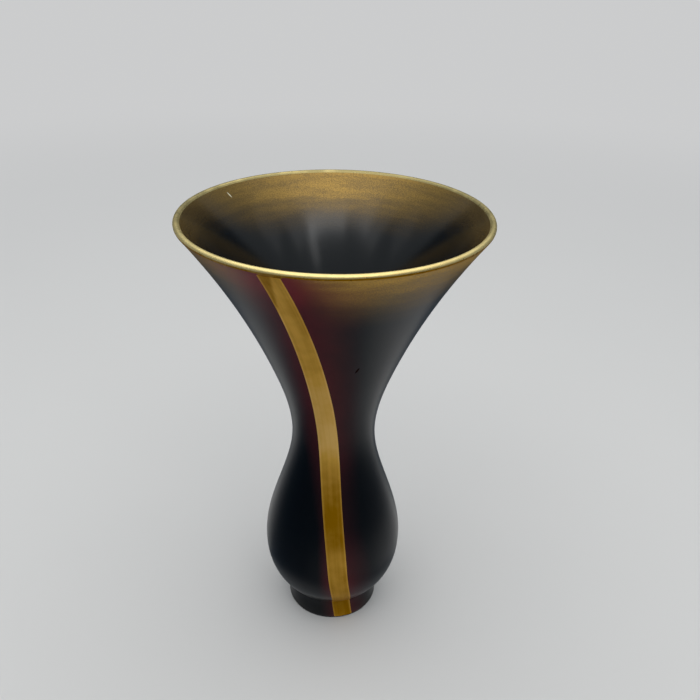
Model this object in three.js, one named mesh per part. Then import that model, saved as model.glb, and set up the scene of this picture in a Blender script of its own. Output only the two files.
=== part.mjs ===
// Lacquered ikebana vase: a trumpet mouth on a bulb-shaped body with a low foot.
// The body is turned in rings that are fitted into each other and glued. A copper water
// liner drops into the throat, an iron weight lies in the bottom, and a gold band runs
// down the front. Millimetres, +Z up, origin in the middle of the foot's underside, and
// the front along -Y.
import * as THREE from "three";

// Outline of the body: height, outer radius, and slope (radius gained per mm of height).
const FOOT_TOP = { z: 18, r: 36.9, slope: 1.03 };
const BELLY = { z: 70, r: 58, slope: 0 };
const WAIST = { z: 177, r: 33.8, slope: 0 };
const THROAT = { z: 241.5, r: 50.1, slope: 0.407 };
const LIP = { z: 356.2, r: 114, slope: 0.725 };
const OUTLINE = [FOOT_TOP, BELLY, WAIST, THROAT, LIP];

// Wall of the body, and the glued sleeves and tongues between its rings.
const WALL = 4.4;
const GLUE_GAP = 0.3;
const SLEEVE_WALL = 2;
const WAIST_SLEEVE = 14;
const BELLY_SLEEVE = 10;
const MOUTH_JOINT = 264;
const TONGUE_INSET = 1.3;
const TONGUE_WIDTH = 1.2;
const TONGUE_HEIGHT = 2;

// Gold lip ring: half round on top, with a short skirt over the end of the wall.
const LIP_THICK = 4.6;
const LIP_SKIRT = 1.2;
const LIP_STEPS = 8;

// Foot, with the tenon, the base disc and the weight in it, and the felt under it.
const CREASE_STEP = 0.4;
const FOOT_SPLAY = 2.1;
const FOOT_HOLLOW = 0.6;
const FOOT_WALL = 3.2;
const FOOT_LEDGE = 3;
const TENON_WALL = 4;
const DISC_BOTTOM = 8;
const DISC_THICK = 4;
const WEIGHT_GAP = 0.5;
const WEIGHT_HEIGHT = 15;
const BOWL_FLOOR = 26;
const FELT_THICK = 1.2;
const FELT_WIDTH = 5;
const FELT_INSET = 1;

// Copper water liner.
const LINER_RADIUS = 27.5;
const LINER_WALL = 0.8;
const LINER_FLOOR = 30;
const LINER_NECK = 190;
const LINER_TOP = 202;
const LINER_GAP = 0.35;

// Gold band: its middle's turn round the body in degrees, and the slope of that turn.
const BAND_AT_FOOT = { turn: 15, slope: -0.15 };
const BAND_AT_CREASE = { turn: 12.2, slope: -0.2 };
const BAND_AT_BELLY = { turn: 4.3, slope: -0.07 };
const BAND_AT_WAIST = { turn: -6.2, slope: -0.125 };
const BAND_AT_THROAT = { turn: -13.2, slope: -0.09 };
const BAND_AT_LIP = { turn: -20.9, slope: -0.05 };
const BAND_WIDTH = 15.9;
const BAND_THICK = 0.4;
const BAND_GAP = 0.3;
const BAND_END_GAP = 0.5;
const BAND_COLUMNS = 4;

// Fineness of the facets.
const AROUND = 48;
const WALL_STEP = 12;
const BOWL_STEP = 6;
const FOOT_STEP = 5;

const radians = THREE.MathUtils.degToRad;

// A value at a height, as a smooth cubic between stations of height, value and slope.
function between(stations, z) {
  const last = stations.length - 2;
  let i = 0;
  while (i < last && z > stations[i + 1].z) i += 1;
  const [low, high] = [stations[i], stations[i + 1]];
  const span = high.z - low.z;
  const s = (z - low.z) / span;
  const rise = s * s * (3 - 2 * s);
  const leave = s * (1 - s) * (1 - s) * span * low.slope;
  const arrive = s * s * (s - 1) * span * high.slope;
  return low.value + (high.value - low.value) * rise + leave + arrive;
}

const outlineStations = OUTLINE.map(({ z, r, slope }) => ({ z, value: r, slope }));
const outerRadius = (z) => between(outlineStations, z);

// Radius at a height, a depth in from the outside and square to the surface.
function inWall(z, depth) {
  const half = 0.5;
  const slope = (outerRadius(z + half) - outerRadius(z - half)) / (2 * half);
  return outerRadius(z) - depth * Math.hypot(1, slope);
}

// Heights from one level to another in even steps, both ends included.
function levels(from, to, step) {
  const count = Math.max(1, Math.round(Math.abs(to - from) / step));
  return Array.from({ length: count + 1 }, (_, i) => from + ((to - from) * i) / count);
}

const outside = (from, to, step = WALL_STEP) =>
  levels(from, to, step).map((z) => [outerRadius(z), z]);
const inside = (from, to, step = WALL_STEP) =>
  levels(from, to, step).map((z) => [inWall(z, WALL), z]);

// A turned piece from its profile of radius and height. A disc's profile starts and ends
// on the axis. A ring's profile goes up the outside and down the inside, and is closed.
function turned(profile) {
  const points = profile.map(([r, z]) => new THREE.Vector2(r, z));
  if (profile[0][0] > 0) points.push(points[0].clone());
  const geometry = new THREE.LatheGeometry(points, AROUND);
  geometry.rotateX(Math.PI / 2);
  return geometry;
}

const disc = (radius, from, to) =>
  turned([
    [0, from],
    [radius, from],
    [radius, to],
    [0, to],
  ]);

// The tongue that stands on a ring at a height, from its outer side to its inner side.
function tongue(z) {
  const outer = outerRadius(z) - TONGUE_INSET;
  const inner = outer - TONGUE_WIDTH;
  return [
    [outer, z],
    [outer, z + TONGUE_HEIGHT],
    [inner, z + TONGUE_HEIGHT],
    [inner, z],
  ];
}

// The groove for that tongue in the ring above, from its inner side to its outer side.
function groove(z) {
  const outer = outerRadius(z) - TONGUE_INSET + GLUE_GAP;
  const inner = outer - TONGUE_WIDTH - 2 * GLUE_GAP;
  const top = z + TONGUE_HEIGHT + GLUE_GAP;
  return [
    [inner, z],
    [inner, top],
    [outer, top],
    [outer, z],
  ];
}

const lipSeat = LIP.z - LIP_SKIRT;
const waistBore = WAIST.r - WALL;
const waistSleeve = waistBore + SLEEVE_WALL;
const waistSleeveEnd = WAIST.z - WAIST_SLEEVE;
const bellyBore = BELLY.r - WALL;
const bellySleeve = bellyBore + SLEEVE_WALL;
const bellySleeveEnd = BELLY.z + BELLY_SLEEVE;

function neckRing() {
  return turned([
    [waistBore, waistSleeveEnd],
    [waistSleeve, waistSleeveEnd],
    [waistSleeve, WAIST.z],
    ...outside(WAIST.z, MOUTH_JOINT),
    ...tongue(MOUTH_JOINT),
    ...inside(MOUTH_JOINT, WAIST.z),
  ]);
}

function mouthRing() {
  return turned([
    ...outside(MOUTH_JOINT, lipSeat),
    ...tongue(lipSeat),
    ...inside(lipSeat, MOUTH_JOINT),
    ...groove(MOUTH_JOINT),
  ]);
}

// The half-round crown is centred on the end of the leaning wall, a little proud of it.
function lipRing() {
  const lean = Math.atan(LIP.slope);
  const crownRadius = LIP.r - (WALL / 2) * Math.cos(lean);
  const crownHeight = LIP.z + (WALL / 2) * Math.sin(lean);
  const proud = (LIP_THICK - WALL) / 2;
  const crown = levels(-lean, Math.PI - lean, Math.PI / LIP_STEPS).map((angle) => [
    crownRadius + (LIP_THICK / 2) * Math.cos(angle),
    crownHeight + (LIP_THICK / 2) * Math.sin(angle),
  ]);
  return turned([
    [inWall(lipSeat, -proud), lipSeat],
    ...crown,
    [inWall(lipSeat, WALL + proud), lipSeat],
    ...groove(lipSeat),
  ]);
}

function bulbUpper() {
  const waistSocket = waistSleeve + GLUE_GAP;
  const bellySocket = bellySleeve + GLUE_GAP;
  const bellySocketEnd = bellySleeveEnd + GLUE_GAP;
  return turned([
    ...outside(BELLY.z, WAIST.z),
    [waistSocket, WAIST.z],
    [waistSocket, waistSleeveEnd],
    ...inside(waistSleeveEnd, bellySocketEnd),
    [bellySocket, bellySocketEnd],
    [bellySocket, BELLY.z],
  ]);
}

const footTop = FOOT_TOP.r - CREASE_STEP;
const footBottom = FOOT_TOP.r + FOOT_SPLAY;
const tenonBore = footTop - FOOT_WALL;
const tenonOuter = tenonBore - GLUE_GAP;
const tenonInner = tenonOuter - TENON_WALL;
const tenonEnd = DISC_BOTTOM + DISC_THICK;

function bulbLower() {
  return turned([
    [tenonInner, tenonEnd],
    [tenonOuter, tenonEnd],
    [tenonOuter, FOOT_TOP.z],
    ...outside(FOOT_TOP.z, BELLY.z, BOWL_STEP),
    [bellySleeve, BELLY.z],
    [bellySleeve, bellySleeveEnd],
    [bellyBore, bellySleeveEnd],
    ...inside(BELLY.z, BOWL_FLOOR, BOWL_STEP),
    [tenonInner, BOWL_FLOOR],
  ]);
}

// Outer radius of the foot: it splays towards the floor and is slightly hollow.
function footRadius(z) {
  const s = (z - FELT_THICK) / (FOOT_TOP.z - FELT_THICK);
  return footBottom + (footTop - footBottom) * s - FOOT_HOLLOW * 4 * s * (1 - s);
}

function footRing() {
  const ledge = tenonOuter - FOOT_LEDGE;
  return turned([
    [ledge, FELT_THICK],
    ...levels(FELT_THICK, FOOT_TOP.z, FOOT_STEP).map((z) => [footRadius(z), z]),
    [tenonBore, FOOT_TOP.z],
    [tenonBore, DISC_BOTTOM],
    [ledge, DISC_BOTTOM],
  ]);
}

function feltRing() {
  const outer = footBottom - FELT_INSET;
  return turned([
    [outer - FELT_WIDTH, 0],
    [outer, 0],
    [outer, FELT_THICK],
    [outer - FELT_WIDTH, FELT_THICK],
  ]);
}

const baseDisc = () => disc(tenonOuter, DISC_BOTTOM, tenonEnd);
const baseWeight = () => disc(tenonInner - WEIGHT_GAP, tenonEnd, tenonEnd + WEIGHT_HEIGHT);

function linerTube() {
  const bore = LINER_RADIUS - LINER_WALL;
  return turned([
    [bore, LINER_FLOOR],
    [LINER_RADIUS, LINER_FLOOR],
    [LINER_RADIUS, LINER_NECK],
    [bore, LINER_NECK],
  ]);
}

const linerFloor = () => disc(LINER_RADIUS, LINER_FLOOR - LINER_WALL, LINER_FLOOR);

// The flared lip rests on the neck's inner wall and carries the liner.
function linerLip() {
  const rim = inWall(LINER_TOP, WALL + LINER_GAP);
  return turned([
    [LINER_RADIUS, LINER_NECK],
    [rim, LINER_TOP],
    [rim - LINER_WALL, LINER_TOP],
    [LINER_RADIUS - LINER_WALL, LINER_NECK],
  ]);
}

// A thin strip laid on a turned surface, row by row, as one closed shell.
function strip(heights, radiusAt) {
  const positions = [];
  const index = [];
  const perLayer = BAND_COLUMNS + 1;
  const perRow = 2 * perLayer;
  for (const z of heights) {
    const r = radiusAt(z);
    const middle = radians(bandTurn(z));
    for (const lift of [BAND_GAP, BAND_GAP + BAND_THICK]) {
      for (let c = 0; c < perLayer; c += 1) {
        const angle = middle + (c / BAND_COLUMNS - 0.5) * (BAND_WIDTH / r);
        positions.push((r + lift) * Math.sin(angle), -(r + lift) * Math.cos(angle), z);
      }
    }
  }
  const at = (row, layer, column) => row * perRow + layer * perLayer + column;
  const quad = (a, b, c, d) => index.push(a, b, c, a, c, d);
  const end = BAND_COLUMNS;
  for (let i = 0; i + 1 < heights.length; i += 1) {
    for (let c = 0; c < end; c += 1) {
      quad(at(i, 1, c), at(i, 1, c + 1), at(i + 1, 1, c + 1), at(i + 1, 1, c));
      quad(at(i, 0, c), at(i + 1, 0, c), at(i + 1, 0, c + 1), at(i, 0, c + 1));
    }
    quad(at(i, 0, 0), at(i, 1, 0), at(i + 1, 1, 0), at(i + 1, 0, 0));
    quad(at(i, 0, end), at(i + 1, 0, end), at(i + 1, 1, end), at(i, 1, end));
  }
  const top = heights.length - 1;
  for (let c = 0; c < end; c += 1) {
    quad(at(0, 0, c), at(0, 0, c + 1), at(0, 1, c + 1), at(0, 1, c));
    quad(at(top, 0, c), at(top, 1, c), at(top, 1, c + 1), at(top, 0, c + 1));
  }
  const geometry = new THREE.BufferGeometry();
  geometry.setAttribute("position", new THREE.Float32BufferAttribute(positions, 3));
  geometry.setIndex(index);
  return geometry;
}

const bandStations = [
  { z: FELT_THICK, value: BAND_AT_FOOT.turn, slope: BAND_AT_FOOT.slope },
  { z: FOOT_TOP.z, value: BAND_AT_CREASE.turn, slope: BAND_AT_CREASE.slope },
  { z: BELLY.z, value: BAND_AT_BELLY.turn, slope: BAND_AT_BELLY.slope },
  { z: WAIST.z, value: BAND_AT_WAIST.turn, slope: BAND_AT_WAIST.slope },
  { z: THROAT.z, value: BAND_AT_THROAT.turn, slope: BAND_AT_THROAT.slope },
  { z: LIP.z, value: BAND_AT_LIP.turn, slope: BAND_AT_LIP.slope },
];
const bandTurn = (z) => between(bandStations, z);

function bodyBand() {
  const heights = [
    ...levels(FOOT_TOP.z + BAND_END_GAP, BELLY.z, BOWL_STEP),
    ...levels(BELLY.z, WAIST.z, WALL_STEP).slice(1),
    ...levels(WAIST.z, lipSeat - BAND_END_GAP, WALL_STEP).slice(1),
  ];
  return strip(heights, outerRadius);
}

function footBand() {
  const heights = levels(FELT_THICK + BAND_END_GAP, FOOT_TOP.z - BAND_END_GAP, FOOT_STEP);
  return strip(heights, footRadius);
}

const finish = (color, roughness, metalness = 0) =>
  new THREE.MeshStandardMaterial({ color, roughness, metalness });
const lacquer = finish(0x141012, 0.3);
const gold = finish(0xa8873f, 0.4, 0.7);
const felt = finish(0x2b2a2c, 0.95);
const iron = finish(0x4a4a4c, 0.6, 0.8);
const copper = finish(0xa8664a, 0.4, 0.9);

const vase = new THREE.Group();

function place(name, geometry, material, parent = vase) {
  const mesh = new THREE.Mesh(geometry, material);
  mesh.name = name;
  parent.add(mesh);
}

place("lip_ring", lipRing(), gold);
place("mouth_ring", mouthRing(), lacquer);
place("neck_ring", neckRing(), lacquer);
place("bulb_upper", bulbUpper(), lacquer);
place("bulb_lower", bulbLower(), lacquer);
place("foot_ring", footRing(), lacquer);
place("base_disc", baseDisc(), lacquer);
place("base_weight", baseWeight(), iron);
place("foot_felt", feltRing(), felt);
place("gold_band_body", bodyBand(), gold);
place("gold_band_foot", footBand(), gold);

const liner = new THREE.Group();
vase.add(liner);
place("liner_tube", linerTube(), copper, liner);
place("liner_floor", linerFloor(), copper, liner);
place("liner_lip", linerLip(), copper, liner);

export default vase;
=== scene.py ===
import math

import bmesh
import bpy
from mathutils import Matrix, Vector


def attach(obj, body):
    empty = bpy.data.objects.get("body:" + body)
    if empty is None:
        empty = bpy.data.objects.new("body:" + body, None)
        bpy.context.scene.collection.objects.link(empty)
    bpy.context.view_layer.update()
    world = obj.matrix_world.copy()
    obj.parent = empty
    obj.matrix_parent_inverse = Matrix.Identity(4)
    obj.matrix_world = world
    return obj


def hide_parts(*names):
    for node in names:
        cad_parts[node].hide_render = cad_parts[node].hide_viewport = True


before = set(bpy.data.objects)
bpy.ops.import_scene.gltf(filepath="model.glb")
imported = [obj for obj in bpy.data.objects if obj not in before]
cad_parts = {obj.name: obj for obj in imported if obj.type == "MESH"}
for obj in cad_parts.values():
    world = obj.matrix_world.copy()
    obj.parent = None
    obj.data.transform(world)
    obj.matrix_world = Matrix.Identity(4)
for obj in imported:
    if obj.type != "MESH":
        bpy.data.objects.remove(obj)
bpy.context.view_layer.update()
MM = 0.001

# The camera. It stands in front of the vase and above the lip, and looks down at it.
# Its height, distance and angles come from the ellipses and the outline in the photograph.
CAMERA_DISTANCE = 549.8 * MM
CAMERA_HEIGHT = 544.9 * MM
CAMERA_DOWN = math.radians(28.316)
CAMERA_YAW = math.radians(1.284)
CAMERA_ROLL = math.radians(1.112)
FOCAL_IN_WIDTHS = 800 / 700


def make_camera():
    data = bpy.data.cameras.new("camera")
    data.sensor_width = 36
    data.lens = data.sensor_width * FOCAL_IN_WIDTHS
    camera = bpy.data.objects.new("camera", data)
    bpy.context.scene.collection.objects.link(camera)
    forward = Vector((
        math.sin(CAMERA_YAW) * math.cos(CAMERA_DOWN),
        math.cos(CAMERA_YAW) * math.cos(CAMERA_DOWN),
        -math.sin(CAMERA_DOWN),
    ))
    right = Vector((math.cos(CAMERA_YAW), -math.sin(CAMERA_YAW), 0))
    up = right.cross(forward)
    rolled_right = math.cos(CAMERA_ROLL) * right + math.sin(CAMERA_ROLL) * up
    rolled_up = -math.sin(CAMERA_ROLL) * right + math.cos(CAMERA_ROLL) * up
    turn = Matrix((rolled_right, rolled_up, -forward)).transposed().to_4x4()
    camera.matrix_world = Matrix.Translation((0, -CAMERA_DISTANCE, CAMERA_HEIGHT)) @ turn
    bpy.context.scene.camera = camera


make_camera()


# The foot: a low turned ring of lacquered wood, a little wider at the floor, with its
# lower edge rounded. It is glued on the bulb's tenon, and the base disc lies in it.
WALL = 4.4
GLUE_GAP = 0.3
FELT_THICK = 1.2
CREASE_STEP = 0.4
FOOT_SPLAY = 2.1
FOOT_HOLLOW = 0.6
FOOT_WALL = 3.2
FOOT_LEDGE = 3
FOOT_ROUND = 0.7
FOOT_STEP = 1.2
FOOT_ROUND_STEPS = 6
DISC_BOTTOM, DISC_THICK = 8, 4
RING_STEP = 2.5
STEPS_AROUND = 224
MERGE_DISTANCE = 0.001 * MM
SHARP_ANGLE = math.radians(30)

# The body's outline from the foot to the lip: a height, the outer radius and its slope.
FOOT_TOP = (18, 36.9, 1.03)
BELLY = (70, 58, 0)
WAIST = (177, 33.8, 0)
THROAT = (241.5, 50.1, 0.407)
LIP = (356.2, 114, 0.725)
OUTLINE = (FOOT_TOP, BELLY, WAIST, THROAT, LIP)
FOOT_TOP_Z, BELLY_Z, WAIST_Z, THROAT_Z, LIP_Z = (z for z, _, _ in OUTLINE)

# The gold band's turn round the body by height, in degrees to the right, and its slope per mm.
BAND_TURNS = (
    (FELT_THICK, 15, -0.15),
    (FOOT_TOP_Z, 12.2, -0.2),
    (BELLY_Z, 4.3, -0.07),
    (WAIST_Z, -6.2, -0.125),
    (THROAT_Z, -13.2, -0.09),
    (LIP_Z, -20.9, -0.05),
)
BAND_WIDTH = 15.9


def between(stations, z):
    """A value at a height, as a smooth cubic between stations of height, value and slope."""
    k = 0
    while k < len(stations) - 2 and z > stations[k + 1][0]:
        k += 1
    (z0, v0, m0), (z1, v1, m1) = stations[k], stations[k + 1]
    span = z1 - z0
    s = (z - z0) / span
    rise = s * s * (3 - 2 * s)
    return v0 + (v1 - v0) * rise + s * (1 - s) ** 2 * span * m0 + s * s * (s - 1) * span * m1


def outer_radius(z):
    return between(OUTLINE, z)


def band_turn(z):
    return math.radians(between(BAND_TURNS, z))


def in_wall(z, depth):
    """The radius at a height, a depth in from the outside and square to the surface."""
    half = 0.5
    slope = (outer_radius(z + half) - outer_radius(z - half)) / (2 * half)
    return outer_radius(z) - depth * math.hypot(1, slope)


def levels(low, high, step):
    count = max(1, round(abs(high - low) / step))
    return [low + (high - low) * k / count for k in range(count + 1)]


def outside(low, high, step=RING_STEP):
    return [(outer_radius(z), z) for z in levels(low, high, step)]


def inside(low, high, step=RING_STEP):
    return [(in_wall(z, WALL), z) for z in levels(low, high, step)]


def add_piece(name, mesh, body):
    piece = bpy.data.objects.new(name, mesh)
    bpy.context.scene.collection.objects.link(piece)
    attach(piece, body)
    return piece


def turned(name, profile, body="body", around=STEPS_AROUND):
    """A turned ring: its closed profile of radius and height, spun once round the axis."""
    bm = bmesh.new()
    verts = [bm.verts.new((r * MM, 0, z * MM)) for r, z in profile]
    edges = [bm.edges.new(pair) for pair in zip(verts, verts[1:] + verts[:1])]
    bmesh.ops.spin(
        bm, geom=verts + edges, cent=(0, 0, 0), axis=(0, 0, 1),
        angle=math.tau, steps=around, use_merge=True,
    )
    bmesh.ops.remove_doubles(bm, verts=bm.verts, dist=MERGE_DISTANCE)
    bmesh.ops.recalc_face_normals(bm, faces=bm.faces)
    mesh = bpy.data.meshes.new(name)
    bm.to_mesh(mesh)
    bm.free()
    mesh.shade_smooth()
    mesh.set_sharp_from_angle(angle=SHARP_ANGLE)
    return add_piece(name, mesh, body)


def smooth(value, start, end):
    s = min(1, max(0, (value - start) / (end - start)))
    return s * s * (3 - 2 * s)


# Dark red is sprayed on both sides of the band. Its reach from the band's middle and its
# strength grow towards the lip. Over the shoulder of the bulb the red is turned down as
# painted shade, where the trumpet's flare shades it. Gold dust is sprayed on the last stretch
# below the lip. All are given by height.
RED_RIGHT = (
    (30, 31), (65, 34), (110, 25), (155, 25), (200, 31), (260, 39), (300, 46), (325, 60), (357, 90))
RED_LEFT = (
    (30, 20), (110, 14), (170, 22), (200, 31), (310, 37), (325, 44), (335, 50), (345, 70), (357, 90))
# The red's strength by height; its dip over the shoulder, from 110 to 140 mm, is painted shade.
RED_STRENGTH_AND_SHADE = (
    (28, 0.25), (50, 0.33), (80, 0.28), (110, 0.08), (140, 0.09), (170, 0.19), (200, 0.28),
    (300, 0.38), (325, 0.44), (335, 0.64), (345, 0.88), (357, 0.92),
)
RED_FALLOFF = 1.3
DUST_OUTSIDE = (
    (308, 0), (318, 0.06), (325, 0.15), (335, 0.3), (345, 0.53), (353, 0.84), (358, 1))
DUST_BACK = ((316, 0), (325, 0.13), (335, 0.5), (345, 0.86), (357, 0.97))
# The dust on the inner sides is kept thin as painted shade.
DUST_AND_SHADE_SIDE = ((330, 0), (340, 0.06), (347, 0.2), (357, 0.4))

# Outside, the dust starts and is full at these distances from the band's middle. On the
# left it is weaker, which is painted shade, and grows to full between these turns. Inside, it
# is strong on the back, where 0 is the sides and 1 the very back, and its start moves back
# below the lip; its thinning towards the sides is painted shade.
DUST_TO_RIGHT, DUST_TO_LEFT = (8, 58), (4, 70)
DUST_AND_SHADE_ON_LEFT = 0.65
DUST_BEHIND = (math.radians(80), math.radians(160))
DUST_BACK_START, DUST_BACK_FULL, DUST_NARROWS_OVER = 0.1, 0.95, 80


def reach(stations, z):
    """A straight line between stations of height and reach."""
    z = min(max(z, stations[0][0]), stations[-1][0])
    for (z0, v0), (z1, v1) in zip(stations, stations[1:]):
        if z <= z1:
            return v0 + (v1 - v0) * (z - z0) / (z1 - z0)


def red_and_shade_amount(z, off):
    end = reach(RED_RIGHT if off > 0 else RED_LEFT, z)
    start = BAND_WIDTH / 2
    return reach(RED_STRENGTH_AND_SHADE, z) * min(1, max(0, (end - abs(off)) / (end - start))) ** RED_FALLOFF


def dust_and_shade_inside(z, turn):
    """Most lies on the back, where it narrows downwards, and little on the sides and in front; the
    thinning on the sides is painted shade.
    """
    start = DUST_BACK_START + (LIP_Z - z) / DUST_NARROWS_OVER
    back = smooth(-math.cos(turn), start, DUST_BACK_FULL)
    side = reach(DUST_AND_SHADE_SIDE, z)
    return side + (reach(DUST_BACK, z) - side) * back


def dust_and_shade_outside(z, off, radius):
    right = smooth(off, *DUST_TO_RIGHT)
    behind = smooth(-off / radius, *DUST_BEHIND)
    left = smooth(-off, *DUST_TO_LEFT) * (DUST_AND_SHADE_ON_LEFT + (1 - DUST_AND_SHADE_ON_LEFT) * behind)
    return reach(DUST_OUTSIDE, z) * max(right, left)


class Nodes:
    """A material's nodes, added one after another."""

    def __init__(self, name):
        self.material = bpy.data.materials.new(name)
        self.material.use_nodes = True
        self.tree = self.material.node_tree
        self.shader = self.tree.nodes["Principled BSDF"]
        self.position = self.tree.nodes.new("ShaderNodeTexCoord").outputs["Object"]

    def put(self, value, socket):
        if isinstance(value, bpy.types.NodeSocket):
            self.tree.links.new(value, socket)
        else:
            socket.default_value = value

    def set(self, **sockets):
        for name, value in sockets.items():
            self.put(value, self.shader.inputs[name.replace("_", " ")])

    def math(self, operation, a, b=0.0, clamp=False):
        node = self.tree.nodes.new("ShaderNodeMath")
        node.operation = operation
        node.use_clamp = clamp
        self.put(a, node.inputs[0])
        self.put(b, node.inputs[1])
        return node.outputs[0]

    def attribute(self, name, output="Fac"):
        node = self.tree.nodes.new("ShaderNodeAttribute")
        node.attribute_name = name
        return node.outputs[output]

    def fade(self, value, start, end, low=0.0, high=1.0):
        node = self.tree.nodes.new("ShaderNodeMapRange")
        node.interpolation_type = "SMOOTHSTEP"
        for socket, given in zip(node.inputs, (value, start, end, low, high)):
            self.put(given, socket)
        return node.outputs[0]

    def noise(self, scale, detail=2.0, stretch=(1, 1, 1), place=None):
        mapping = self.tree.nodes.new("ShaderNodeMapping")
        self.put(place or self.position, mapping.inputs["Vector"])
        mapping.inputs["Scale"].default_value = stretch
        node = self.tree.nodes.new("ShaderNodeTexNoise")
        self.put(mapping.outputs[0], node.inputs["Vector"])
        node.inputs["Scale"].default_value = scale
        node.inputs["Detail"].default_value = detail
        return node.outputs["Fac"]

    def pattern(self, scale, low, high, detail=3.0, cut=0.3, stretch=(1, 1, 1), place=None):
        """Noise between two values, with its lowest and highest parts cut flat."""
        return self.fade(self.noise(scale, detail, stretch, place), cut, 1 - cut, low, high)

    def mix(self, factor, a, b):
        node = self.tree.nodes.new("ShaderNodeMix")
        node.data_type = "RGBA"
        self.put(factor, node.inputs["Factor"])
        self.put(a, node.inputs["A"])
        self.put(b, node.inputs["B"])
        return node.outputs["Result"]

    def ramp(self, value, stops):
        node = self.tree.nodes.new("ShaderNodeValToRGB")
        self.put(value, node.inputs["Fac"])
        marks = node.color_ramp.elements
        marks[0].position, marks[0].color = stops[0]
        marks[-1].position, marks[-1].color = stops[-1]
        for place, colour in stops[1:-1]:
            marks.new(place).color = colour
        return node.outputs["Color"]

    def mark(self, middle, along, length, width):
        """1 on a small long mark, and 0 elsewhere."""
        mapping = self.tree.nodes.new("ShaderNodeMapping")
        mapping.vector_type = "TEXTURE"
        self.put(self.position, mapping.inputs["Vector"])
        mapping.inputs["Location"].default_value = Vector(middle) * MM
        mapping.inputs["Rotation"].default_value = Vector(along).to_track_quat("X", "Z").to_euler()
        mapping.inputs["Scale"].default_value = Vector((length, width, width)) / 2 * MM
        size = self.tree.nodes.new("ShaderNodeVectorMath")
        size.operation = "LENGTH"
        self.put(mapping.outputs[0], size.inputs[0])
        return self.fade(size.outputs["Value"], 1.0, 0.6)

    def bump(self, height, distance, strength=1.0):
        node = self.tree.nodes.new("ShaderNodeBump")
        self.put(height, node.inputs["Height"])
        node.inputs["Distance"].default_value = distance
        node.inputs["Strength"].default_value = strength
        self.put(node.outputs[0], self.shader.inputs["Normal"])


# The black is tinted slightly blue, a painted tint of the room's bluish light.
BLACK = (0.0014, 0.0017, 0.0022, 1)
DARK_RED = (0.2, 0.007, 0.012, 1)

# Two small marks of wear: their middle, their direction, length, width and colour.
CHIP = (16.5, -56.8, 262.5), (-0.437, 0.28, -0.855), 7.4, 2.0, (0.012, 0.004, 0.003, 1)
SCRATCH = (-83.6, 64.4, 351.9), (0.666, 0.005, -0.746), 6.6, 1.2, (0.95, 0.87, 0.62, 1)

# How fine the lacquer's patterns are, in waves per metre.
RED_CLOUDS, DUST_GRAIN, DUST_STREAKS, LACQUER_RIPPLE = 30, 1500, 26, 180


def lacquer_material(name, coat_roughness, dust_colour, dust_metal, wear):
    """Clear lacquer over black, with the sprayed red and gold dust under it, whose amounts also
    carry painted shade.
    """
    n = Nodes(name)
    clouds = n.pattern(RED_CLOUDS, low=0.75, high=1.2, cut=0.25)
    red_and_shade = n.math("MULTIPLY", n.attribute("red_and_shade"), clouds, clamp=True)
    grain = n.pattern(DUST_GRAIN, low=0.6, high=1.3, detail=2)
    streaks = n.pattern(DUST_STREAKS, low=0.76, high=1.2, detail=4, cut=0.25, stretch=(1, 1, 9))
    dust_and_shade = n.math("MULTIPLY", n.attribute("dust_and_shade"), n.math("MULTIPLY", grain, streaks))
    dust_and_shade = n.math("MINIMUM", dust_and_shade, 1.0)
    painted = n.mix(dust_and_shade, n.mix(red_and_shade, BLACK, DARK_RED), dust_colour)
    *mark, worn_colour = wear
    worn = n.mark(*mark)
    n.set(Base_Color=n.mix(worn, painted, worn_colour))
    n.set(Metallic=n.math("MULTIPLY", dust_and_shade, dust_metal))
    n.set(Roughness=0.34, Specular_IOR_Level=0.0)
    dull = n.math("MAXIMUM", dust_and_shade, worn)
    n.set(Coat_Weight=n.math("SUBTRACT", 1.0, dull), Coat_Roughness=coat_roughness, Coat_IOR=1.5)
    n.bump(n.noise(LACQUER_RIPPLE), distance=0.01 * MM, strength=0.5)
    return n.material


outer_lacquer = lacquer_material(
    "outer_lacquer", coat_roughness=0.3, dust_colour=(0.52, 0.31, 0.075, 1), dust_metal=0.3,
    wear=CHIP)
inner_lacquer = lacquer_material(
    "inner_lacquer", coat_roughness=0.17, dust_colour=(0.31, 0.193, 0.054, 1), dust_metal=1.0,
    wear=SCRATCH)

# The places of the inner lacquer and of the lip's gold in a piece's list of materials.
INNER, LIP_GOLD = 1, 2


def faces_inwards(face):
    return face.normal.dot(Vector((face.center.x, face.center.y, 0))) < 0


def lacquer(piece):
    """Both lacquers on a turned piece, and how much red and gold dust lies at each point, with
    painted shade in both amounts.
    """
    mesh = piece.data
    mesh.materials.append(outer_lacquer)
    mesh.materials.append(inner_lacquer)
    red_and_shade, dust_and_shade = [], []
    for vertex in mesh.vertices:
        x, y, z = vertex.co / MM
        radius = math.hypot(x, y)
        turn = math.atan2(x, -y)
        off = ((turn - band_turn(z) + math.pi) % math.tau - math.pi) * radius
        within = radius < outer_radius(max(z, FOOT_TOP_Z)) - WALL / 2
        red_and_shade.append(0 if within else red_and_shade_amount(z, off))
        dust_and_shade.append(dust_and_shade_inside(z, turn) if within else dust_and_shade_outside(z, off, radius))
    mesh.attributes.new("red_and_shade", "FLOAT", "POINT").data.foreach_set("value", red_and_shade)
    mesh.attributes.new("dust_and_shade", "FLOAT", "POINT").data.foreach_set("value", dust_and_shade)
    for face in mesh.polygons:
        if faces_inwards(face):
            face.material_index = INNER


foot_top = FOOT_TOP[1] - CREASE_STEP
foot_bottom = FOOT_TOP[1] + FOOT_SPLAY
tenon_bore = foot_top - FOOT_WALL
tenon_outer = tenon_bore - GLUE_GAP


def foot_radius(z):
    """The foot's outer radius: it splays towards the floor and is slightly hollow."""
    s = (z - FELT_THICK) / (FOOT_TOP_Z - FELT_THICK)
    return foot_bottom + (foot_top - foot_bottom) * s - FOOT_HOLLOW * 4 * s * (1 - s)


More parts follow.
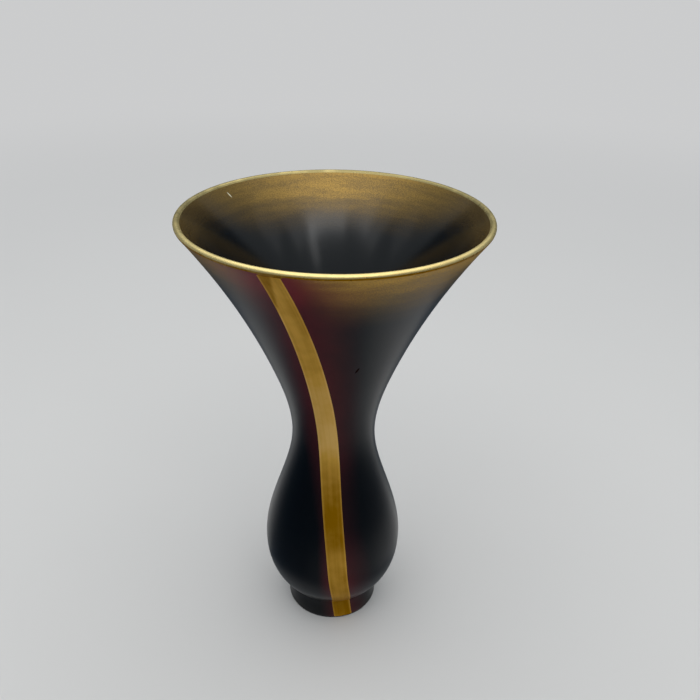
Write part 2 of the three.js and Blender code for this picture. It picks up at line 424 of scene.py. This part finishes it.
def foot_edge():
    """The rounded lower edge, from the underside to the side."""
    middle = foot_radius(FELT_THICK + FOOT_ROUND) - FOOT_ROUND
    return [
        (middle + FOOT_ROUND * math.sin(a), FELT_THICK + FOOT_ROUND - FOOT_ROUND * math.cos(a))
        for a in (math.pi / 2 * k / FOOT_ROUND_STEPS for k in range(FOOT_ROUND_STEPS))
    ]


foot = turned("foot", [
    (tenon_outer - FOOT_LEDGE, FELT_THICK),
    *foot_edge(),
    *[(foot_radius(z), z) for z in levels(FELT_THICK + FOOT_ROUND, FOOT_TOP_Z, FOOT_STEP)],
    (tenon_bore, FOOT_TOP_Z),
    (tenon_bore, DISC_BOTTOM),
    (tenon_outer - FOOT_LEDGE, DISC_BOTTOM),
])
lacquer(foot)
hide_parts("foot_ring")


# The bulb: two turned shells of lacquered wood, the bowl and the shoulder, sleeved into each
# other at the widest line and glued before lacquering, so that no seam shows.
TENON_WALL = 4
BOWL_FLOOR = 26
SLEEVE_WALL = 2
BELLY_SLEEVE = 10
WAIST_SLEEVE = 14
BOWL_STEP, BOWL_INSIDE_STEP, SHOULDER_INSIDE_STEP = 1.5, 5, 8
belly_bore = BELLY[1] - WALL
waist_bore = WAIST[1] - WALL
belly_socket = belly_bore + SLEEVE_WALL + GLUE_GAP
waist_socket = waist_bore + SLEEVE_WALL + GLUE_GAP
sleeve_top = BELLY_Z + BELLY_SLEEVE
bowl = turned("bulb_bowl", [
    (tenon_outer - TENON_WALL, DISC_BOTTOM + DISC_THICK),
    (tenon_outer, DISC_BOTTOM + DISC_THICK),
    (tenon_outer, FOOT_TOP_Z),
    *outside(FOOT_TOP_Z, BELLY_Z, BOWL_STEP),
    (belly_bore + SLEEVE_WALL, BELLY_Z),
    (belly_bore + SLEEVE_WALL, sleeve_top),
    (belly_bore, sleeve_top),
    *inside(BELLY_Z, BOWL_FLOOR, BOWL_INSIDE_STEP),
    (tenon_outer - TENON_WALL, BOWL_FLOOR),
])
lacquer(bowl)
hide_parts("bulb_lower")

shoulder = turned("bulb_shoulder", [
    *outside(BELLY_Z, WAIST_Z),
    (waist_socket, WAIST_Z),
    (waist_socket, WAIST_Z - WAIST_SLEEVE),
    *inside(WAIST_Z - WAIST_SLEEVE, sleeve_top + GLUE_GAP, SHOULDER_INSIDE_STEP),
    (belly_socket, sleeve_top + GLUE_GAP),
    (belly_socket, BELLY_Z),
])
lacquer(shoulder)
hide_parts("bulb_upper")


# The trumpet: the neck and the mouth, two turned rings of wood that lock into each other with
# a tongue inside the wall and are lacquered as one. The neck's sleeve is glued into the bulb.
MOUTH_JOINT = 264
TONGUE_INSET, TONGUE_WIDTH, TONGUE_HEIGHT = 1.3, 1.2, 2
LIP_SKIRT = 1.2
lip_seat = LIP_Z - LIP_SKIRT


def tongue(z):
    """The tongue on top of a ring, from its outer side to its inner side."""
    outer = outer_radius(z) - TONGUE_INSET
    inner = outer - TONGUE_WIDTH
    return [(outer, z), (outer, z + TONGUE_HEIGHT), (inner, z + TONGUE_HEIGHT), (inner, z)]


def groove(z):
    """The groove under the next ring, from its inner side to its outer side."""
    outer = outer_radius(z) - TONGUE_INSET + GLUE_GAP
    inner = outer - TONGUE_WIDTH - 2 * GLUE_GAP
    top = z + TONGUE_HEIGHT + GLUE_GAP
    return [(inner, z), (inner, top), (outer, top), (outer, z)]


neck = turned("neck", [
    (waist_bore, WAIST_Z - WAIST_SLEEVE),
    (waist_bore + SLEEVE_WALL, WAIST_Z - WAIST_SLEEVE),
    (waist_bore + SLEEVE_WALL, WAIST_Z),
    *outside(WAIST_Z, MOUTH_JOINT),
    *tongue(MOUTH_JOINT),
    *inside(MOUTH_JOINT, WAIST_Z),
])
lacquer(neck)
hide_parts("neck_ring")

mouth = turned("mouth", [
    *outside(MOUTH_JOINT, lip_seat),
    *tongue(lip_seat),
    *inside(lip_seat, MOUTH_JOINT),
    *groove(MOUTH_JOINT),
])
lacquer(mouth)
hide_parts("mouth_ring")


# The lip: a half-round ring finished in satin gold, painted lighter in front and duller at the
# back as painted light and shade. Its lacquered skirt stands on the leaning wall's end, glued
# over the mouth's tongue.
LIP_THICK = 4.54
LIP_STEPS = 24
GOLD_INSIDE = 1
# The gold's tones: a dull one for the painted shade at the back, a bright one for the painted light
# in front, and a deep one for the painted shade under the lip.
LIP_TONES = (
    (0, (0.37, 0.3, 0.13, 1)), (0.4, (0.95, 0.75, 0.32, 1)), (1, (0.42, 0.18, 0.002, 1)))
LIP_FRONT_LIGHT = 0.4

# The gold goes from painted light in front to painted shade at the back, in shares of the
# lip's radius, and is deepened by painted shade under the lip, in degrees below its outer side.
# Its brush strokes run along the lip, where this many degrees across count as 1 mm.
LIP_BACK_SHADE = (-0.8, 0.25)
LIP_UNDER_SHADE = (-18, 8)
STROKE_DEGREES = 45

# How fine the gold's patterns are, in waves per metre, and how far they change its tone.
BRUSH_STROKES = (330, 9, 9)
GOLD_PATCHES, GOLD_SHEEN, GOLD_GRAIN = 70, 160, 1400
GOLD_UNEVEN = (-0.06, 0.08)
GOLD_ROUGHNESS_SPREAD = (-0.04, 0.06)


def gold_material(name, tones, roughness, metallic):
    """Gold laid by hand, with faint brush strokes and fine grain. Its tone follows painted light and
    shade: brighter where light is painted, deeper where shade is painted.
    """
    n = Nodes(name)
    lay = n.attribute("lay", "Vector")
    strokes = n.pattern(1, *GOLD_UNEVEN, stretch=BRUSH_STROKES, place=lay)
    patches = n.pattern(GOLD_PATCHES, *GOLD_UNEVEN, detail=4)
    tone_and_shade = n.math("ADD", n.attribute("tone_and_shade"), n.math("ADD", strokes, patches), clamp=True)
    n.set(Base_Color=n.ramp(tone_and_shade, tones), Metallic=metallic, Specular_IOR_Level=0.0)
    low, high = (roughness + spread for spread in GOLD_ROUGHNESS_SPREAD)
    n.set(Roughness=n.pattern(GOLD_SHEEN, low, high, cut=0.2))
    n.bump(n.noise(GOLD_GRAIN), distance=0.02 * MM, strength=0.5)
    return n.material


def lay_gold(mesh, tone_and_shade, lay):
    """The gold's tone at each point, with painted light and shade in it, and the place along and
    across its strokes.
    """
    mesh.attributes.new("tone_and_shade", "FLOAT", "POINT").data.foreach_set("value", tone_and_shade)
    mesh.attributes.new("lay", "FLOAT_VECTOR", "POINT").data.foreach_set("vector", lay)


lean = math.atan(LIP[2])
crown_radius = LIP[1] - WALL / 2 * math.cos(lean)
crown_height = LIP_Z + WALL / 2 * math.sin(lean)
gold_end = crown_height + LIP_THICK / 2 * math.sin(lean) - GOLD_INSIDE * math.cos(lean)


def lip_profile():
    proud = (LIP_THICK - WALL) / 2
    half = LIP_THICK / 2
    turns = [math.pi * k / LIP_STEPS - lean for k in range(LIP_STEPS + 1)]
    crown = [(crown_radius + half * math.cos(a), crown_height + half * math.sin(a)) for a in turns]
    inner = in_wall(lip_seat, WALL + proud)
    r, z = crown[-1]
    return [
        (in_wall(lip_seat, -proud), lip_seat),
        *crown,
        (r + (inner - r) * (z - gold_end) / (z - lip_seat), gold_end),
        (inner, lip_seat),
        *groove(lip_seat),
    ]


lip = turned("lip", lip_profile())
lacquer(lip)
lip.data.materials.append(
    gold_material("gold_lip", LIP_TONES, roughness=0.28, metallic=0.65))
for face in lip.data.polygons:
    x, y, z = face.center / MM
    above_band = abs(math.atan2(x, -y) - band_turn(z)) * math.hypot(x, y) < BAND_WIDTH / 2
    inwards = faces_inwards(face)
    if z > (gold_end if inwards else LIP_Z) or (above_band and not inwards):
        face.material_index = LIP_GOLD
tone_and_shade, lay = [], []
for vertex in lip.data.vertices:
    x, y, z = vertex.co / MM
    side = math.degrees(math.atan2(z - crown_height, math.hypot(x, y) - crown_radius))
    # Painted light in front fading to painted shade at the back, and painted shade under the lip.
    front_light = LIP_FRONT_LIGHT * (1 - smooth(y / crown_radius, *LIP_BACK_SHADE))
    under_shade = smooth(-side, *LIP_UNDER_SHADE) if side > -90 else 0
    tone_and_shade.append(front_light + (1 - front_light) * under_shade)
    lay += [side / STROKE_DEGREES * MM, x * MM, y * MM]
lay_gold(lip.data, tone_and_shade, lay)
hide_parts("lip_ring")


# The gold band: a strip of gold leaf about 16 mm wide that leans round the body as it
# climbs from the foot to the lip. It lies on the lacquer, with softly rounded edges.
BAND_LIFT = 0.2
BAND_EDGE = 0.2
BAND_THICK = 0.25
BAND_END_GAP = 0.1
BAND_CLEARANCE = 0.03
BAND_COLUMNS = 10
BAND_SHARP_ANGLE = math.radians(40)

# Painted shade and light on the band by height: its gold is deepened over the bulb's shoulder
# and at the foot, where less light falls, and lightened at the waist as a painted reflection.
BAND_PAINTED_SHADE = (
    (1, 0.88), (28, 0.92), (42, 0.65), (60, 0.72), (80, 0.6), (100, 0.9), (125, 0.95), (145, 0.8),
    (165, 0.45), (180, 0.1), (200, 0.08), (222, 0.18), (240, 0.18), (265, 0.42), (310, 0.45),
    (345, 0.4), (357, 0.5),
)

# It lies thinner in a slanting wedge at the top left and along the upper right side, and
# thicker on both edges. A place across the band runs from -1 to 1.
WEDGE_SLANT, WEDGE_HEIGHTS, WEDGE_THINNER = 30, (346, 354), 0.45
RIGHT_ACROSS, RIGHT_HEIGHTS, RIGHT_THINNER = (0, 0.5), (285, 310), 0.12
EDGE_ACROSS, EDGE_THICKER = (0.82, 0.95), 0.35
BAND_TONES = (
    (0, (0.9, 0.55, 0.16, 1)), (0.35, (0.76, 0.42, 0.07, 1)), (1, (0.33, 0.15, 0.001, 1)))


def gold_band(name, low, high, radius_at, rows):
    """A grid laid on a turned surface, with rounded edges, and given a thickness."""
    bm = bmesh.new()
    bmesh.ops.create_grid(bm, x_segments=BAND_COLUMNS, y_segments=rows, size=1)
    for v in bm.verts:
        z = low + (high - low) * (v.co.y + 1) / 2
        edge = max(0, abs(v.co.x) - 1 + BAND_EDGE) / BAND_EDGE
        r = radius_at(z) + BAND_LIFT * math.sqrt(max(0, 1 - edge * edge)) + BAND_CLEARANCE
        angle = band_turn(z) + v.co.x * BAND_WIDTH / 2 / r
        v.co = (r * math.sin(angle) * MM, -r * math.cos(angle) * MM, z * MM)
    bmesh.ops.recalc_face_normals(bm, faces=bm.faces)
    if sum(f.normal.dot(f.calc_center_median() * Vector((1, 1, 0))) for f in bm.faces) < 0:
        bmesh.ops.reverse_faces(bm, faces=bm.faces)
    bmesh.ops.solidify(bm, geom=bm.faces, thickness=BAND_THICK * MM)
    bmesh.ops.recalc_face_normals(bm, faces=bm.faces)
    mesh = bpy.data.meshes.new(name)
    bm.to_mesh(mesh)
    bm.free()
    mesh.shade_smooth()
    mesh.set_sharp_from_angle(angle=BAND_SHARP_ANGLE)
    tone_and_shade, lay = [], []
    for vertex in mesh.vertices:
        x, y, z = vertex.co / MM
        across = (math.atan2(x, -y) - band_turn(z)) * math.hypot(x, y) * 2 / BAND_WIDTH
        wedge = WEDGE_THINNER * smooth(z - WEDGE_SLANT * across, *WEDGE_HEIGHTS)
        right = RIGHT_THINNER * smooth(across, *RIGHT_ACROSS) * smooth(z, *RIGHT_HEIGHTS)
        edge = EDGE_THICKER * smooth(abs(across), *EDGE_ACROSS)
        # Painted shade and light by height, with the gold's own changes of tone across the band.
        tone_and_shade.append(reach(BAND_PAINTED_SHADE, z) + wedge + right - edge)
        lay += [across * BAND_WIDTH / 2 * MM, 0, z * MM]
    lay_gold(mesh, tone_and_shade, lay)
    return add_piece(name, mesh, "body")


gold_leaf = gold_material("gold_leaf", BAND_TONES, roughness=0.42, metallic=0.45)
band_body = gold_band(
    "band_body", FOOT_TOP_Z + BAND_END_GAP, lip_seat - BAND_END_GAP, outer_radius, rows=260)
band_foot = gold_band(
    "band_foot", FELT_THICK + FOOT_ROUND, FOOT_TOP_Z - BAND_END_GAP, foot_radius, rows=24)
for piece, node in ((band_body, "gold_band_body"), (band_foot, "gold_band_foot")):
    piece.data.materials.append(gold_leaf)
    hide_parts(node)


# The water liner: a tube of sheet copper with a soldered floor and a flared lip, which
# hangs in the throat and lifts out. It is dulled by water.
LINER_RADIUS, LINER_WALL = 27.5, 0.8
LINER_FLOOR, LINER_NECK, LINER_TOP = 30, 190, 202
LINER_GAP = 0.35
LINER_ROUND = 0.2
LINER_STEP = 20
LINER_STEPS_AROUND = 128
COPPER, STAINED_COPPER = (0.42, 0.18, 0.09, 1), (0.24, 0.12, 0.075, 1)
COPPER_STAINS, COPPER_SHEEN, COPPER_DRAW_MARKS = 35, 90, 120
STAIN_EDGE = (0.35, 0.7)


def copper_material():
    n = Nodes("sheet_copper")
    stain = n.fade(n.noise(COPPER_STAINS, 5), *STAIN_EDGE)
    n.set(Base_Color=n.mix(stain, COPPER, STAINED_COPPER), Metallic=0.9)
    n.set(Roughness=n.pattern(COPPER_SHEEN, low=0.3, high=0.5, cut=0.2))
    n.bump(n.noise(COPPER_DRAW_MARKS, 3, (1, 1, 0.1)), distance=0.08 * MM, strength=0.4)
    return n.material


copper = copper_material()
liner_rim = in_wall(LINER_TOP, WALL + LINER_GAP)
liner_bore = LINER_RADIUS - LINER_WALL
liner_wall = turned("liner_wall", [
    (liner_bore, LINER_FLOOR),
    *[(LINER_RADIUS, z) for z in levels(LINER_FLOOR, LINER_NECK, LINER_STEP)],
    (liner_bore, LINER_NECK),
], "liner", LINER_STEPS_AROUND)
liner_flare = turned("liner_flare", [
    (LINER_RADIUS, LINER_NECK),
    (liner_rim - LINER_ROUND / 2, LINER_TOP - LINER_ROUND),
    (liner_rim - LINER_ROUND, LINER_TOP),
    (liner_rim - LINER_WALL + LINER_ROUND, LINER_TOP),
    (liner_rim - LINER_WALL - LINER_ROUND / 2, LINER_TOP - LINER_ROUND),
    (liner_bore, LINER_NECK),
], "liner", LINER_STEPS_AROUND)
for piece, node in ((liner_wall, "liner_tube"), (liner_flare, "liner_lip")):
    piece.data.materials.append(copper)
    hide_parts(node)


# The pieces that stay as built: the felt glued under the foot, the lacquered base disc and
# the cast-iron weight on it, and the liner's soldered floor. They only get their finishes.
ROUGHNESS_SPREAD = 0.08
GRAIN_DEPTH = 0.1 * MM


def plain_material(name, grain, dark, light, roughness, metallic=0.0):
    n = Nodes(name)
    n.set(Base_Color=n.mix(n.noise(grain, 4), dark, light), Metallic=metallic)
    highest = min(1, roughness + ROUGHNESS_SPREAD)
    n.set(Roughness=n.pattern(grain, roughness - ROUGHNESS_SPREAD, highest, cut=0.2))
    n.bump(n.noise(grain * 2, 3), GRAIN_DEPTH)
    return n.material


def refinish(node, material):
    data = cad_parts[node].data
    data.materials.clear()
    data.materials.append(material)


refinish("foot_felt", plain_material(
    "dark_felt", grain=700, dark=(0.012, 0.012, 0.014, 1), light=(0.045, 0.044, 0.048, 1),
    roughness=0.92))
refinish("base_disc", plain_material(
    "base_lacquer", grain=90, dark=(0.004, 0.004, 0.004, 1), light=(0.009, 0.008, 0.008, 1),
    roughness=0.4))
refinish("base_weight", plain_material(
    "cast_iron", grain=260, dark=(0.05, 0.05, 0.052, 1), light=(0.11, 0.11, 0.115, 1),
    roughness=0.6, metallic=0.8))
refinish("liner_floor", copper)


# The floor and the lamps. A wide soft ceiling has brighter panels in front and a small window
# to the right. A dark sheet of painted shade lies on the floor and turns up into a low round
# wall. Only reflections see it, painting the shade of the room into the lacquer, and it lets
# through a share of the floor's light, by distance and by turn.
FLOOR_SIZE = 30
FLOOR_DROP = 0.1 * MM
FLOOR_DARK, FLOOR_LIGHT = (0.675, 0.655, 0.635, 1), (0.695, 0.675, 0.655, 1)
FLOOR_CLOUDS = 3
BACKDROP = (0.60, 0.605, 0.61, 1)
BACKDROP_START, BACKDROP_FULL = 0.4, 2.2
SHADE_SHEET_COLOUR = (0.008, 0.03, 0.06, 1)
SHADE_SHEET_NEAR, SHADE_SHEET_FAR = 0.045, 2.0
SHADE_SHEET_LIFT = 1 * MM
SHADE_SHEET_STEPS_AROUND = 64
SHADE_SHEET_TOP = 1.1

# The share of the floor's light that the painted shade sheet lets through into reflections, by
# distance from the axis, and what it is multiplied by, by turn in degrees to the right of the front.
SHADE_SHEET_BY_DISTANCE = (
    (0.04, 0.08), (0.085, 0.35), (0.105, 0.65), (0.13, 0.82), (0.16, 0.85), (0.18, 0.76),
    (0.22, 0.83), (0.27, 0.62), (0.31, 0.55), (0.36, 0.33), (0.45, 0.15), (0.65, 0.1), (1.0, 0.08),
)
SHADE_SHEET_BY_TURN = (
    (-180, 0.5), (-150, 0.55), (-141, 1.15), (-131, 1.4), (-122, 0.98), (-115, 0.8), (-100, 0.18),
    (-80, 0.06), (-38, 0.07), (-18, 0.24), (0, 0.3), (22, 0.35), (50, 0.4), (74, 0.65), (100, 0.85),
    (115, 1.05), (123, 1.35), (129, 1.5), (138, 0.65), (150, 0.27), (180, 0.27),
)

# Beside the foot the painted shade sheet lets through at least this share, which fades out further
# off.
FOOT_SHARE, FOOT_SHARE_FULL, FOOT_SHARE_END = 0.42, 0.065, 0.11

# Each lamp's name, place, size across and forward, and how bright it looks.
LAMPS = (
    ("ceiling", (0, 0.07, 2.0), (3.6, 3.46), 0.62),
    ("ceiling_right", (0.32, -1.54, 1.98), (1.34, 0.4), 2.3),
    ("ceiling_left", (-0.72, -1.24, 1.98), (1.0, 0.6), 1.1),
    ("ceiling_middle", (-0.05, -0.32, 1.98), (2.3, 2.04), 0.65),
    ("ceiling_side_right", (2.35, -0.5, 1.98), (1.0, 0.9), 0.35),
    ("ceiling_side_left", (-2.5, -0.4, 1.98), (1.0, 0.9), 0.25),
    ("ceiling_back", (0, 1.15, 1.98), (2.0, 0.9), 0.5),
    ("window", (1.0, -1.95, 1.97), (0.36, 0.7), 1.1),
)
ROOM_LIGHT, ROOM_STRENGTH = (0.66, 0.735, 0.79, 1), 0.55


def from_axis(n):
    """The distance from the vase's axis, and the way across and forward, as sockets."""
    split = n.tree.nodes.new("ShaderNodeSeparateXYZ")
    n.put(n.position, split.inputs[0])
    x, y = split.outputs["X"], split.outputs["Y"]
    return n.math("SQRT", n.math("ADD", n.math("MULTIPLY", x, x), n.math("MULTIPLY", y, y))), x, y


def make_floor():
    bpy.ops.mesh.primitive_plane_add(size=FLOOR_SIZE, location=(0, 0, -FLOOR_DROP))
    floor = bpy.context.object
    floor.name = "floor"
    n = Nodes("pale_floor")
    n.set(Base_Color=n.mix(n.noise(FLOOR_CLOUDS, 3), FLOOR_DARK, FLOOR_LIGHT))
    n.set(Roughness=0.6, Specular_IOR_Level=0.0)
    distance, _, _ = from_axis(n)
    path = n.tree.nodes.new("ShaderNodeLightPath")
    seen = n.math("MAXIMUM", path.outputs["Is Camera Ray"], path.outputs["Is Glossy Ray"])
    seen = n.math("MAXIMUM", seen, path.outputs["Is Transmission Ray"])
    backdrop = n.tree.nodes.new("ShaderNodeEmission")
    backdrop.inputs["Color"].default_value = BACKDROP
    blend = n.tree.nodes.new("ShaderNodeMixShader")
    far = n.fade(distance, BACKDROP_START, BACKDROP_FULL)
    n.put(n.math("MULTIPLY", far, seen), blend.inputs[0])
    n.put(n.shader.outputs[0], blend.inputs[1])
    n.put(backdrop.outputs[0], blend.inputs[2])
    n.put(blend.outputs[0], n.tree.nodes["Material Output"].inputs["Surface"])
    floor.data.materials.append(n.material)


def make_shade_sheet():
    """A dark sheet of painted shade on the floor all round the foot, which turns up into a low round
    wall. Only reflections see it.
    """
    bm = bmesh.new()
    side = [(SHADE_SHEET_NEAR, SHADE_SHEET_LIFT), (SHADE_SHEET_FAR, SHADE_SHEET_LIFT), (SHADE_SHEET_FAR, SHADE_SHEET_TOP)]
    verts = [bm.verts.new((0, -r, z)) for r, z in side]
    edges = [bm.edges.new(pair) for pair in zip(verts, verts[1:])]
    bmesh.ops.spin(
        bm, geom=verts + edges, cent=(0, 0, 0), axis=(0, 0, 1),
        angle=math.tau, steps=SHADE_SHEET_STEPS_AROUND, use_merge=True,
    )
    mesh = bpy.data.meshes.new("painted_shade_sheet")
    bm.to_mesh(mesh)
    bm.free()
    shade_sheet = bpy.data.objects.new("painted_shade_sheet", mesh)
    bpy.context.scene.collection.objects.link(shade_sheet)
    n = Nodes("painted_shade_sheet")
    n.set(Base_Color=SHADE_SHEET_COLOUR, Roughness=1.0, Specular_IOR_Level=0.0)
    distance, x, y = from_axis(n)
    turn = n.math("ARCTAN2", x, n.math("MULTIPLY", y, -1.0))
    turn = n.math("ADD", n.math("DIVIDE", turn, math.tau), 0.5)
    by_turn = n.ramp(turn, [(t / 360 + 0.5, (v, v, v, 1)) for t, v in SHADE_SHEET_BY_TURN])
    share = n.ramp(distance, [(d, (v, v, v, 1)) for d, v in SHADE_SHEET_BY_DISTANCE])
    share = n.math("MULTIPLY", share, by_turn)
    at_foot = n.fade(distance, FOOT_SHARE_END, FOOT_SHARE_FULL, 0.0, FOOT_SHARE)
    n.set(Alpha=n.math("SUBTRACT", 1.0, n.math("MAXIMUM", share, at_foot)))
    mesh.materials.append(n.material)
    shade_sheet.visible_camera = False
    shade_sheet.visible_diffuse = False
    shade_sheet.visible_shadow = False


def area_light(name, place, size, radiance):
    """A lamp that faces down. Its power follows from its size and how bright it looks."""
    data = bpy.data.lights.new(name, "AREA")
    data.shape = "RECTANGLE"
    data.size, data.size_y = size
    data.energy = radiance * math.pi * size[0] * size[1]
    lamp = bpy.data.objects.new(name, data)
    bpy.context.scene.collection.objects.link(lamp)
    lamp.location = place


make_floor()
make_shade_sheet()
for lamp in LAMPS:
    area_light(*lamp)
world = bpy.data.worlds.new("world")
bpy.context.scene.world = world
world.use_nodes = True
room = world.node_tree.nodes["Background"].inputs
room["Color"].default_value = ROOM_LIGHT
room["Strength"].default_value = ROOM_STRENGTH
bpy.context.scene.view_settings.view_transform = "Standard"
